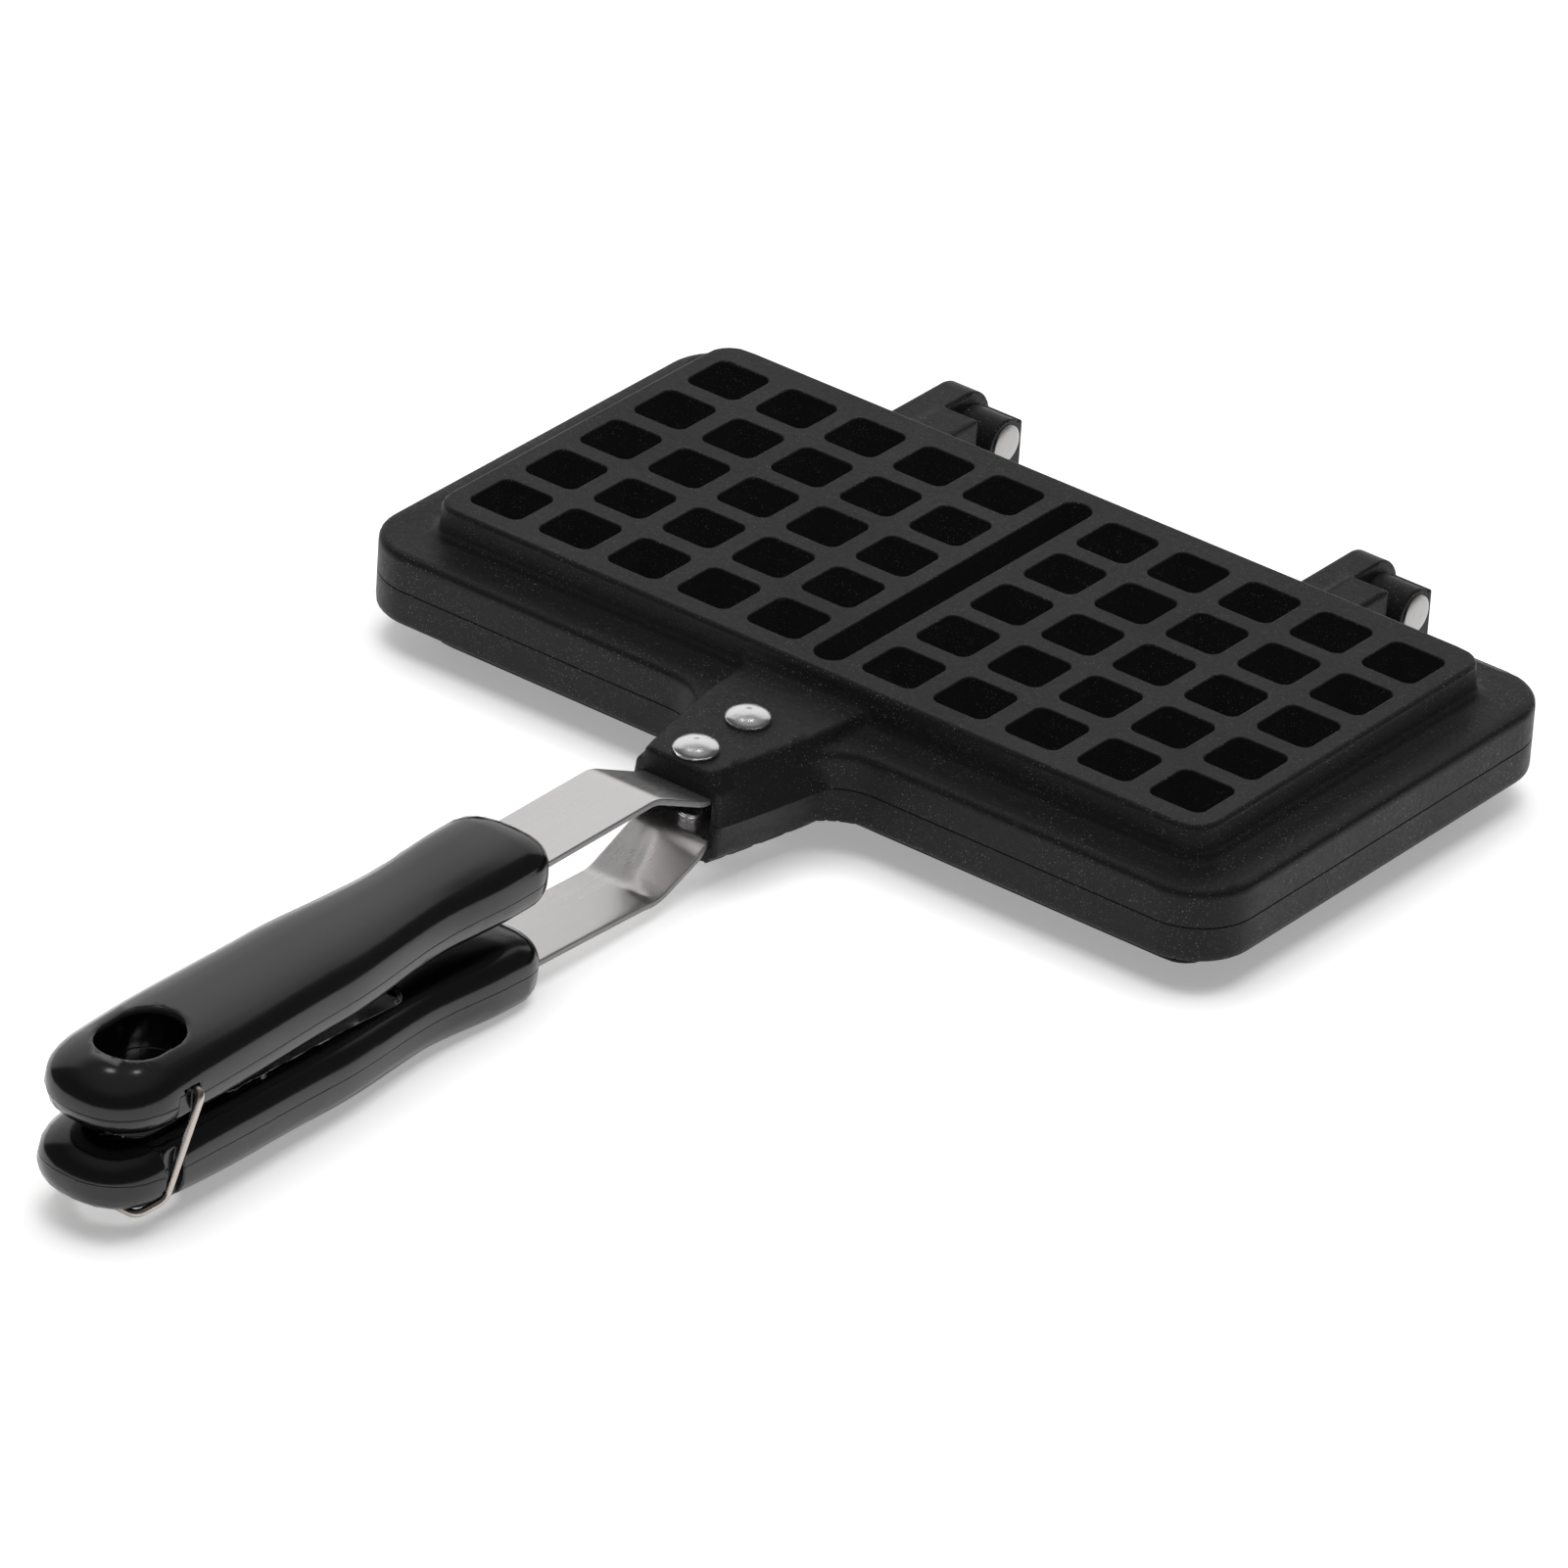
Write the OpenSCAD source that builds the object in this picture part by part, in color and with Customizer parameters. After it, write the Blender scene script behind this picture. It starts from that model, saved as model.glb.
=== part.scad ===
// Two-slice square-grid waffle pan for the hob: two hinged cast plates,
// pressed steel straps riveted into a boss on each plate, moulded grips and a
// wire bail that latches the grips together.
// X runs along the hinge, +Y points to the hinge, -Y to the grips, Z is up.
// The origin is the middle of the footprint, on the surface the pan rests on.

/* [Plates] */
// Height of the upper plate, from the parting plane to its outer face
half_h = 17.2; // [15:0.1:20]
// Depth of the lower plate below the parting plane
lower_half_h = 17.2; // [15:0.1:20]
// Height of the flange above the parting plane
flange_h = 8.8; // [7.5:0.1:10.5]
// Half length of the flange along the hinge
flange_x = 118.8; // [116:0.1:124]
// Half width of the flange across the hinge
flange_y = 65; // [63:0.1:70]
// Corner radius of the flange
flange_r = 15; // [10:0.5:20]
// Half length of the raised block
block_x = 106.6; // [105:0.1:109]
// Half width of the raised block
block_y = 53.6; // [52:0.1:57]
// Corner radius of the raised block
block_r = 7; // [4:0.5:10]
// Shift of the flange and the block towards the hinge
cast_shift = 0.8; // [0:0.1:2]
// Thickness of the cast walls
wall = 3; // [2.2:0.1:3.4]

/* [Waffle grid] */
// Spacing of the pegs
pitch = 19.5; // [19:0.1:20]
// Extra space between the left and the right grid
grid_gap = 12.3; // [12:0.1:13]
// Pegs in a row
rows = 5; // [3:1:5]
// Mouth of a pocket in the outer face
mouth = 14.6; // [13.5:0.1:15]
// Inside width of a hollow peg below its mouth
well = 11.4; // [9:0.1:11.8]
// Wall of a hollow peg
peg_wall = 1.6; // [1.3:0.1:2]
// Space between the ends of two facing pegs
peg_gap = 7.6; // [6:0.2:12]
// Length of the dividing groove
groove_l = 95.2; // [90:0.2:98]
// Width of the dividing groove
groove_w = 8; // [6:0.2:9]

/* [Boss and rivets] */
// Front end of the boss, measured from the grid's middle
boss_y = -98.3; // [-102:0.1:-95]
// Height of the boss pad above the parting plane
boss_h = 12; // [10.5:0.1:14]
// Depth of the boss pad below the parting plane on the lower plate
lower_boss_h = 10.6; // [10:0.1:14]
// Half width of the boss at its front end
boss_x = 11.5; // [11.3:0.1:13]
// Place of the front rivet
rivet_front_y = -91.6; // [-93:0.1:-89]
// Place of the rear rivet
rivet_rear_y = -73.3; // [-76:0.1:-71]
// Radius of a rivet's shank
rivet_r = 2.75; // [2:0.05:3]
// Radius of a rivet's domed head
head_r = 5.35; // [4.5:0.05:5.6]
// Height of a rivet's domed head
head_h = 2.6; // [1.5:0.1:3]
// Radius of a rivet's formed tail
tail_r = 3.5; // [3.2:0.1:4]
// Height of a rivet's formed tail
tail_h = 2.0; // [1.2:0.1:2.4]

/* [Straps] */
// Width of the pressed strap
strap_w = 19; // [16:0.1:19.2]
// Thickness of the strap
strap_t = 1.6; // [1.2:0.1:2]
// Upper face of the strap in its boss, above the parting plane
strap_z = 6.1; // [5.5:0.1:6.5]
// Where the strap begins to lift, measured from the grid's middle
ramp_y = -99.5; // [-101:0.1:-99]
// Where the upper strap levels out
upper_bend_y = -117; // [-120:0.1:-114]
// Middle height of the upper strap in its grip
upper_z = 13.4; // [13:0.1:15]
// Where the lower strap levels out
lower_bend_y = -115.4; // [-118:0.1:-113]
// Middle depth of the lower strap at its bend
lower_z = 12; // [11:0.1:13]
// Upward set of the lower strap and grip
lower_rise = 2.45; // [1.6:0.05:2.6]

/* [Grips] */
// Length of a grip
grip_l = 146.6; // [140:0.1:150]
// Start of the upper grip, measured from the grid's middle
grip_y = -152.2; // [-155:0.1:-145]
// Start of the lower grip, measured from the grid's middle
lower_grip_y = -153.8; // [-156:0.1:-145]
// Greatest half width of a grip
grip_a = 15.2; // [14:0.1:15.4]
// Greatest half height of a grip
grip_b = 8.7; // [8.2:0.1:8.8]
// Middle of the long recess in the inner face, from the strap end of the grip
recess_s = 75.8; // [74:0.1:77]
// Half width of the recess
recess_x = 8; // [6:0.1:9]
// Half length of the recess
recess_l = 31.2; // [28:0.1:33]
// Shift of a grip's middle from its strap towards the other grip
grip_in = 0.2; // [0:0.1:0.5]
// Middle of the hang hole, from the strap end of the grip
hang_s = 125.2; // [122:0.1:127]
// Half width of the hang hole
hang_r = 7.8; // [6:0.1:8]
// Extra length of the hang hole
hang_len = 5.6; // [0:0.1:7]

/* [Hinge] */
// Pin axis, measured from the grid's middle
hinge_y = 85; // [83:0.1:87]
// Radius of the round end of an ear
ear_r = 8.75; // [8:0.05:9]
// Radius of a knuckle
knuckle_r = 6; // [5.5:0.1:6.5]
// Radius of a hinge pin
pin_r = 2.5; // [2:0.05:3]
// Running clearance of the pin in an ear
run = 0.06; // [0.02:0.01:0.1]
// Radius of a hinge pin's head
pin_head_r = 4.7; // [4:0.1:5]

/* [Bail] */
// Radius of the bail wire
wire_r = 0.9; // [0.8:0.05:1.1]
// Pivot of the bail, measured from the grid's middle
bail_y = -276.9; // [-278:0.1:-275]
// Height of the bail's pivot above the parting plane
bail_z = 14; // [13:0.1:15]
// Half width of the bail at its pivot
bail_x = 16.6; // [16.2:0.1:17.5]
// Half width of the bail at the lower end of its arms
bail_x2 = 16.5; // [16.2:0.1:17]
// Half width of the bail at the ends of its cross bar
bail_x3 = 12; // [11:0.1:14]
// Drop of the bail's arms from pivot to foot
bail_drop = 23; // [22:0.1:26]
// Lean of the bail towards the tip
bail_lean = 8.1; // [7:0.1:9]
// Length of the bail's foot towards the tip
bail_foot = 7.7; // [7:0.1:9]
// Drop of the bail's foot
bail_sink = 5.4; // [5:0.1:6]

/* [Hidden] */
$fn = 48;
e = 0.01;
cast_col = [0.06, 0.06, 0.065];
grip_col = [0.03, 0.03, 0.03];
steel_col = [0.72, 0.71, 0.7];
alu_col = [0.8, 0.8, 0.81];
// The two hinges: left edge of the ear, edge between ear and knuckle,
// right edge of the shoulder, right edge of the knuckle
hinges = [[-67.8, -59.6, -50.4, -48.6], [47.0, 54.9, 64.2, 66.0]];
side_gap = 0.2;
tang = 108;
screw_s = 76;
lower_s = (lower_bend_y - lower_grip_y) / cos(lower_rise);
tip_y = lower_bend_y - (lower_s + grip_l) * cos(lower_rise);
// Middle of the footprint, measured from the grid's middle
mid_y = round(50 * (hinge_y + ear_r + tip_y)) / 100;

module place() { translate([0, -mid_y, lower_half_h]) children(); }
module half(up) { if (up) children(); else mirror([0, 0, 1]) children(); }

// ---------------------------------------------------------------- plates
module rrect(x, y, r) {
    square([2 * (x - r), 2 * y], center = true);
    square([2 * x, 2 * (y - r)], center = true);
    for (i = [-1, 1], j = [-1, 1]) translate([i * (x - r), j * (y - r)]) circle(r);
}
function col_x(i) = (i - (rows - 0.5)) * pitch + (i < rows ? -grid_gap : grid_gap) / 2;
module grid_cells(w, r) {
    for (i = [0 : 2 * rows - 1], j = [0 : rows - 1])
        translate([col_x(i), (j - (rows - 1) / 2) * pitch]) rrect(w / 2, w / 2, r);
}
module slot2d(w, l) {
    square([w, l - w], center = true);
    for (j = [-1, 1]) translate([0, j * (l - w) / 2]) circle(w / 2);
}
// Outline of the boss, wider towards the plate and flared into it
boss_pts = [[boss_x, boss_y], [12.6, -90.5], [13.2, -84], [13.8, -77.8], [15.5, -72.6],
            [18.3, -68.7], [22, -66], [28, -64], [28, -58]];
pad_pts = [[8.8, boss_y], [10.8, -90.2], [12.8, -80.2], [14.5, -71], [15.4, -64], [16, -56], [16, -50]];
module both_sides(p) {
    polygon(concat(p, [for (i = [len(p) - 1 : -1 : 0]) [-p[i][0], p[i][1]]]));
}
peg_z = peg_gap / 2;
cav_x = block_x - wall;
cav_y = block_y - wall - 0.6;
module cavity2d() {
    difference() {
        translate([0, cast_shift]) rrect(cav_x, cav_y, 4);
        square([groove_w + 2 * peg_wall, 140], center = true);
    }
}
// One plate with its boss, as the upper one; hinge parts are added per plate
module plate_casting(h, pad_h) {
    difference() {
        union() {
            translate([0, cast_shift, 0]) linear_extrude(flange_h) rrect(flange_x, flange_y, flange_r);
            translate([0, cast_shift, 0]) linear_extrude(h) rrect(block_x, block_y, block_r);
            linear_extrude(flange_h) both_sides(boss_pts);
            linear_extrude(pad_h) both_sides(pad_pts);
        }
        // batter space: open between the pegs, clear over their ends
        translate([0, 0, -1]) linear_extrude(peg_z + 1) cavity2d();
        translate([0, 0, peg_z - e]) linear_extrude(h - wall - peg_z + e) difference() {
            cavity2d();
            grid_cells(well + 2 * peg_wall, 2.4);
        }
        // hollow pegs and dividing groove, open to the outside
        translate([0, 0, peg_z + 2.4]) linear_extrude(h) grid_cells(well, 1.6);
        translate([0, 0, h - 1.5]) linear_extrude(h) grid_cells(mouth, 2);
        translate([0, 0, 4]) linear_extrude(h) slot2d(groove_w, groove_l);
        // overflow channel round the batter space
        translate([0, cast_shift, -1]) linear_extrude(3.4) difference() {
            rrect(flange_x - 4.6, flange_y - 4.6, flange_r - 4.6);
            rrect(cav_x + 2.8, cav_y + 2.8, 6.8);
        }
        // channel for the strap in the boss, open to the front
        translate([-strap_w / 2 - 0.3, boss_y - 1, -1]) cube([strap_w + 0.6, 34, strap_z + 1]);
        for (y = [rivet_front_y, rivet_rear_y])
            translate([0, y, 0]) cylinder(r = rivet_r, h = 40);
    }
}
// Ears of the upper plate, round the pin, each with a shoulder beside it
module upper_ears() {
    for (h = hinges) difference() {
        union() {
            translate([h[0], flange_y - 6, 0]) cube([h[1] - side_gap - h[0], hinge_y - flange_y + 6, flange_h]);
            translate([h[0], hinge_y, 0]) rotate([0, 90, 0]) cylinder(r = ear_r, h = h[1] - side_gap - h[0]);
            translate([h[1] - side_gap - e, flange_y - 6, 0.1])
                cube([h[2] - h[1] + side_gap + e, 76.2 - flange_y + 6, flange_h - 0.1]);
        }
        translate([h[0] - 1, hinge_y, 0]) rotate([0, 90, 0]) cylinder(r = pin_r + run, h = 20);
    }
}
// Knuckles of the lower plate, on arms below the parting plane
module lower_knuckles() {
    for (h = hinges) difference() {
        union() {
            translate([h[1] + side_gap, flange_y - 6, -flange_h])
                cube([h[3] - h[1] - side_gap, hinge_y - flange_y + 6 + knuckle_r, flange_h]);
            translate([h[1] + side_gap, hinge_y, -1])
                cube([h[3] - h[1] - side_gap, knuckle_r, 1 + 4.2]);
            translate([h[1] + side_gap, hinge_y, 0]) rotate([0, 90, 0]) cylinder(r = knuckle_r, h = h[3] - h[1] - side_gap);
        }
        translate([h[1], hinge_y, 0]) rotate([0, 90, 0]) cylinder(r = pin_r, h = 20);
    }
}
module upper_plate() {
    color(cast_col) place() union() { plate_casting(half_h, boss_h); upper_ears(); }
}
module lower_plate() {
    color(cast_col) place() union() { mirror([0, 0, 1]) plate_casting(lower_half_h, lower_boss_h); lower_knuckles(); }
}

// ---------------------------------------------------------------- straps
// Side view of a strap as a chain of straight lengths joined by round bends
module strap_side(pts) {
    for (i = [0 : len(pts) - 2]) {
        d = pts[i + 1] - pts[i];
        translate(pts[i]) rotate(atan2(d[1], d[0])) translate([0, -strap_t / 2]) square([norm(d), strap_t]);
    }
    for (i = [1 : len(pts) - 2]) translate(pts[i]) circle(strap_t / 2);
}
strap_in = -65.5;
strap_c = strap_z - strap_t / 2;
function upper_path() = [[strap_in, strap_c], [ramp_y, strap_c], [upper_bend_y, upper_z],
                         [grip_y - tang, upper_z]];
function lower_path() = [[strap_in, -strap_c], [ramp_y, -strap_c], [lower_bend_y, -lower_z],
                         [lower_bend_y - (lower_s + tang) * cos(lower_rise), -lower_z + (lower_s + tang) * sin(lower_rise)]];
module strap(pts, s) {
    difference() {
        translate([-strap_w / 2, 0, 0]) rotate([90, 0, 90]) linear_extrude(strap_w) strap_side(pts);
        for (y = [rivet_front_y, rivet_rear_y])
            translate([0, y, s > 0 ? 0 : -12]) cylinder(r = rivet_r, h = 12);
        children();
    }
}
module upper_strap() {
    color(steel_col) place() strap(upper_path(), 1) grip_at(true) screw_hole();
}
module lower_strap() {
    color(steel_col) place() strap(lower_path(), -1) grip_at(false) screw_hole();
}

// ---------------------------------------------------------------- rivets
// Domed head outside, shank through boss and strap, formed tail inside
module rivet(y, top) {
    translate([0, y, 0]) rotate_extrude() polygon(concat(
        [[0, strap_z - strap_t - tail_h], [tail_r - 0.8, strap_z - strap_t - tail_h],
         [tail_r, strap_z - strap_t - tail_h + 0.8], [tail_r, strap_z - strap_t],
         [rivet_r, strap_z - strap_t], [rivet_r, top], [head_r, top]],
        [for (i = [0 : 8]) let (a = 10 * i)
            [head_r * cos(a), top + 0.3 + (head_h - 0.3) * sin(a)]],
        [[0, top + head_h]]));
}
module upper_front_rivet() { color(alu_col) place() rivet(rivet_front_y, boss_h); }
module upper_rear_rivet() { color(alu_col) place() rivet(rivet_rear_y, boss_h); }
module lower_front_rivet() { color(alu_col) place() mirror([0, 0, 1]) rivet(rivet_front_y, lower_boss_h); }
module lower_rear_rivet() { color(alu_col) place() mirror([0, 0, 1]) rivet(rivet_rear_y, lower_boss_h); }

// ---------------------------------------------------------------- grips
// A grip stands in its own frame: s runs from the strap end to the tip
// along -Y, the outer face is up.
function smooth(t) = let (u = min(1, max(0, t))) u * u * (3 - 2 * u);
function mix(a, b, t) = a + (b - a) * t;
function cap(s) = let (d0 = 11, d1 = 16)
    s < d0 ? pow(max(0, 1 - pow((d0 - s) / d0, 2.3)), 1 / 2.3)
    : s > grip_l - d1 ? pow(max(0, 1 - pow((s - grip_l + d1) / d1, 2.2)), 1 / 2.2) : 1;
function half_w(s) = s < 38 ? mix(grip_a - 1.9, grip_a - 3.1, smooth((s - 16) / 22))
    : mix(grip_a - 3.1, grip_a - 0.6, smooth((s - 38) / 37)) + 0.6 * smooth((s - 75) / 40);
function half_t(s) = s < 38 ? mix(grip_b - 0.2, grip_b - 0.7, smooth((s - 16) / 22))
    : mix(grip_b - 0.7, grip_b - 0.15, smooth((s - 38) / 40)) + 0.15 * smooth((s - 75) / 35);
function round_pt(a, b, t, m) = [a * sign(cos(t)) * pow(abs(cos(t)), 2 / m),
                                 b * sign(sin(t)) * pow(abs(sin(t)), 2 / m)];
steps = 28;
function ring(s) = [for (k = [0 : steps - 1])
    let (p = round_pt(half_w(s) * cap(s), half_t(s) * cap(s), 360 * (k + 0.5) / steps, 3 - 0.75 * smooth((s - 112) / 34)))
        [p[0], -s, p[1] - grip_in]];
module grip_body() {
    st = concat([0.05, 1, 3, 6.5], [for (i = [0 : 12]) 11 + i * (grip_l - 31) / 12],
                [for (v = [13.5, 8.5, 5, 2.2, 0.7, 0.05]) grip_l - v]);
    n = len(st);
    pts = [for (s = st) each ring(s)];
    polyhedron(pts, concat(
        [[for (k = [0 : steps - 1]) k]],
        [for (i = [0 : n - 2], k = [0 : steps - 1]) let (a = i * steps + k, b = i * steps + (k + 1) % steps)
            [a, a + steps, b + steps, b]],
        [[for (k = [steps - 1 : -1 : 0]) (n - 1) * steps + k]]));
}
module hang_hole2d() {
    translate([0, -hang_s]) {
        square([2 * hang_r, hang_len], center = true);
        for (j = [-1, 1]) translate([0, j * hang_len / 2]) circle(hang_r);
    }
}
// Upper or lower grip frame
module grip_at(up) {
    if (up) translate([0, grip_y, upper_z]) children();
    else translate([0, lower_bend_y, -lower_z]) rotate([-lower_rise, 0, 0])
        translate([0, -lower_s, 0]) mirror([0, 0, 1]) children();
}
module screw_hole() { translate([0, -screw_s, -4]) cylinder(r = 1.8, h = 8); }
// Grip with its tang slot, hang hole and the long recess of its inner face
module grip() {
    difference() {
        grip_body();
        translate([-strap_w / 2, -tang - 0.5, -strap_t / 2]) cube([strap_w, tang + 20, strap_t]);
        translate([0, 0, -20]) linear_extrude(40) hang_hole2d();
        translate([0, -recess_s, -grip_b - 2]) linear_extrude(grip_b + 2 - 7) rrect(recess_x, recess_l, 4);
        translate([0, -screw_s, -9]) cylinder(r = 1.8, h = 14);
        translate([0, -screw_s, -9]) cylinder(r = 3.8, h = 4.6);
    }
}
module upper_grip() {
    color(grip_col) place() difference() {
        grip_at(true) grip();
        side_slot(bail_y - 5.1, bail_y + 1.2, 0, bail_z + 1.2);
        translate([-20, bail_y, bail_z]) rotate([0, 90, 0]) cylinder(r = wire_r + run, h = 40);
    }
}
module lower_grip() {
    color(grip_col) place() grip_at(false) grip();
}
// Self-tapping screw through the tang, its head sunk in the recess
module grip_screw() {
    translate([0, -screw_s, 0]) rotate_extrude() polygon(
        [[0, -6.8], [2.6, -6.8], [3.5, -6.1], [3.5, -4.4], [1.8, -4.4], [1.8, 4.2], [0.6, 5], [0, 5]]);
}
module upper_grip_screw() { color(steel_col) place() grip_at(true) grip_screw(); }
module lower_grip_screw() { color(steel_col) place() grip_at(false) grip_screw(); }

// ---------------------------------------------------------------- hinge pins
module hinge_pin(h) {
    translate([0, hinge_y, 0]) rotate([0, 90, 0]) {
        translate([0, 0, h[0] - 0.1 - 0.9]) cylinder(r = 3.6, h = 0.9);
        translate([0, 0, h[0] - 0.2]) cylinder(r = pin_r, h = h[3] - h[0] + 0.3);
        translate([0, 0, h[3]]) cylinder(r = pin_head_r, h = 0.9);
    }
}
module left_hinge_pin() { color(alu_col) place() hinge_pin(hinges[0]); }
module right_hinge_pin() { color(alu_col) place() hinge_pin(hinges[1]); }

// ---------------------------------------------------------------- bail
// The wire runs from one pivot, down the side, under the tip and back
foot_y = bail_y - bail_lean;
foot_z = bail_z - bail_drop;
bar_y = foot_y - bail_foot;
bar_z = foot_z - bail_sink;
bail_top = [bail_x, bail_y, bail_z];
bail_heel = [bail_x2, foot_y, foot_z];
bail_toe = [bail_x3, bar_y, bar_z];
function unit(v) = v / norm(v);
function bend(a, p, b, d, n) = let (q = p + d * unit(a - p), w = p + d * unit(b - p))
    [for (i = [0 : n]) let (t = i / n) (1 - t) * (1 - t) * q + 2 * t * (1 - t) * p + t * t * w];
bail_in = [14.6, bail_y, bail_z];
bail_path_r = concat([bail_in], bend(bail_in, bail_top, bail_heel, 1.9, 5),
    bend(bail_top, bail_heel, bail_toe, 1.9, 5), bend(bail_heel, bail_toe, bail_toe - [5, 0, 0], 1.9, 5));
bail_path = concat(bail_path_r,
    [for (i = [len(bail_path_r) - 1 : -1 : 0]) [-bail_path_r[i][0], bail_path_r[i][1], bail_path_r[i][2]]]);
sides = 16;
function tangent(p, i) = unit(p[min(i + 1, len(p) - 1)] - p[max(i - 1, 0)]);
module tube(p, r) {
    n = len(p);
    pts = [for (i = [0 : n - 1])
        let (t = tangent(p, i), u = unit(cross(t, [0, 0.8, -0.6])), v = cross(t, u), q = (i == 0 || i == n - 1) ? 0.98 * r : r)
        each [for (k = [0 : sides - 1]) p[i] + q * (cos(360 * k / sides) * u + sin(360 * k / sides) * v)]];
    polyhedron(pts, concat(
        [[for (k = [0 : sides - 1]) k]],
        [for (i = [0 : n - 2], k = [0 : sides - 1]) let (a = i * sides + k, b = i * sides + (k + 1) % sides)
            [a, a + sides, b + sides, b]],
        [[for (k = [sides - 1 : -1 : 0]) (n - 1) * sides + k]]));
}
module bail_wire() {
    color([0.7, 0.66, 0.6]) place() {
        tube(bail_path, wire_r);
        for (x = [-15, 9.2]) translate([x, bail_y, bail_z]) rotate([0, 90, 0]) cylinder(r = wire_r, h = 5.8);
    }
}
// Room for the arms of the wire: a slot down each side of the upper grip
module side_slot(y0, y1, z0, z1) {
    for (m = [0, 1]) mirror([m, 0, 0]) translate([12.9, y0, z0]) cube([6, y1 - y0, z1 - z0]);
}

upper_plate();
lower_plate();
upper_strap();
lower_strap();
upper_grip();
lower_grip();
upper_grip_screw();
lower_grip_screw();
left_hinge_pin();
right_hinge_pin();
upper_front_rivet();
upper_rear_rivet();
lower_front_rivet();
lower_rear_rivet();
bail_wire();
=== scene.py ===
import math

import bmesh
import bpy
import numpy as np
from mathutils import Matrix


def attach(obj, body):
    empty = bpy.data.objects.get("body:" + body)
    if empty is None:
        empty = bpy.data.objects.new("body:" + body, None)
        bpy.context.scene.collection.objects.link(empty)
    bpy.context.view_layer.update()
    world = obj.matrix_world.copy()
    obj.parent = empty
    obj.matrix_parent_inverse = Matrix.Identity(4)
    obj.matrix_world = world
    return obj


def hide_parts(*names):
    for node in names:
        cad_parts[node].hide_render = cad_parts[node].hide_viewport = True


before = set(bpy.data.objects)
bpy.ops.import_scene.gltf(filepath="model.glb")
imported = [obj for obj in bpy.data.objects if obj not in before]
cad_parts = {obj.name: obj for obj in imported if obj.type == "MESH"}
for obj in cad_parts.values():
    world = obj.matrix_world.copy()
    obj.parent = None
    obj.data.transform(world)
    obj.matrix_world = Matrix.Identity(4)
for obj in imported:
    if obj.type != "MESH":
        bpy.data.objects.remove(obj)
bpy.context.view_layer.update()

import openvdb
from mathutils import Matrix, Vector

# The plate frame of the CAD part: Y from the middle of the grid, z from the
# parting plane, in millimetres. row frame = plate frame + (0, OY, OZ).
OY, OZ = 103.26, 17.2
MM = 0.001


# ------------------------------------------------------------------ distance
def hyp(a, b):
    return np.sqrt(a * a + b * b)


def rrect(x, y, hx, hy, r):
    qx, qy = np.abs(x) - (hx - r), np.abs(y) - (hy - r)
    return hyp(np.maximum(qx, 0), np.maximum(qy, 0)) + np.minimum(np.maximum(qx, qy), 0) - r


def uround(a, b, r):
    return np.maximum(r, np.minimum(a, b)) - hyp(np.maximum(r - a, 0), np.maximum(r - b, 0))


def iround(a, b, r):
    return np.minimum(-r, np.maximum(a, b)) + hyp(np.maximum(r + a, 0), np.maximum(r + b, 0))


def dround(a, b, r):
    return iround(a, -b, r)


def box3(x, y, z, x0, x1, y0, y1, z0, z1, r):
    hx, hy, hz = (x1 - x0) / 2, (y1 - y0) / 2, (z1 - z0) / 2
    qx = np.abs(x - (x0 + x1) / 2) - hx + r
    qy = np.abs(y - (y0 + y1) / 2) - hy + r
    qz = np.abs(z - (z0 + z1) / 2) - hz + r
    out = np.sqrt(np.maximum(qx, 0) ** 2 + np.maximum(qy, 0) ** 2 + np.maximum(qz, 0) ** 2)
    return out + np.minimum(np.maximum(np.maximum(qx, qy), qz), 0) - r


def smooth(t):
    t = np.clip(t, 0, 1)
    return t * t * (3 - 2 * t)


# ------------------------------------------------------------------ meshing
def gradient(f, p, e):
    x, y, z = p[:, 0], p[:, 1], p[:, 2]
    return np.stack([f(x + e, y, z) - f(x - e, y, z), f(x, y + e, z) - f(x, y - e, z),
                     f(x, y, z + e) - f(x, y, z - e)], 1) / (2 * e)


def unit_normals(f, p, e=0.06):
    g = gradient(f, p, e)
    return g / np.maximum(np.linalg.norm(g, axis=1), 1e-9)[:, None]


def newton(f, p, h, n):
    for _ in range(n):
        g = gradient(f, p, 0.02)
        step = f(p[:, 0], p[:, 1], p[:, 2]) / np.maximum((g * g).sum(1), 0.09)
        p = p - np.clip(step, -0.5 * h, 0.5 * h)[:, None] * g
    return p


def surface(f, lo, hi, h, adapt=0.0, ax=None):
    """Points, normals and faces of the zero surface of f, settled on the surface itself."""
    if ax is None:
        lo, hi = np.array(lo, float), np.array(hi, float)
        ax = [lo[i] + h * np.arange(int(math.ceil((hi[i] - lo[i]) / h)) + 1) for i in range(3)]
    n = [len(a) for a in ax]
    v = f(ax[0][:, None, None], ax[1][None, :, None], ax[2][None, None, :])
    v = np.clip(np.broadcast_to(v, n), -3 * h, 3 * h).astype(np.float32) / h
    grid = openvdb.FloatGrid(3.0)
    grid.copyFromArray(np.ascontiguousarray(v), tolerance=0.0)
    pts, tris, quads = grid.convertToPolygons(0.0, adapt)
    p = np.stack([np.interp(pts[:, i], np.arange(n[i]), ax[i]) for i in range(3)], 1)
    p = newton(f, p, h, 3)
    nrm = unit_normals(f, p)
    tris, quads = tris.astype(np.int64), quads.astype(np.int64)
    a, b, c = p[quads[:, 0]], p[quads[:, 1]], p[quads[:, 2]]
    if (np.cross(b - a, c - a) * nrm[quads[:, 0]]).sum() < 0:
        quads, tris = quads[:, ::-1], tris[:, ::-1]
    return p, nrm, tris, quads


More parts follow.
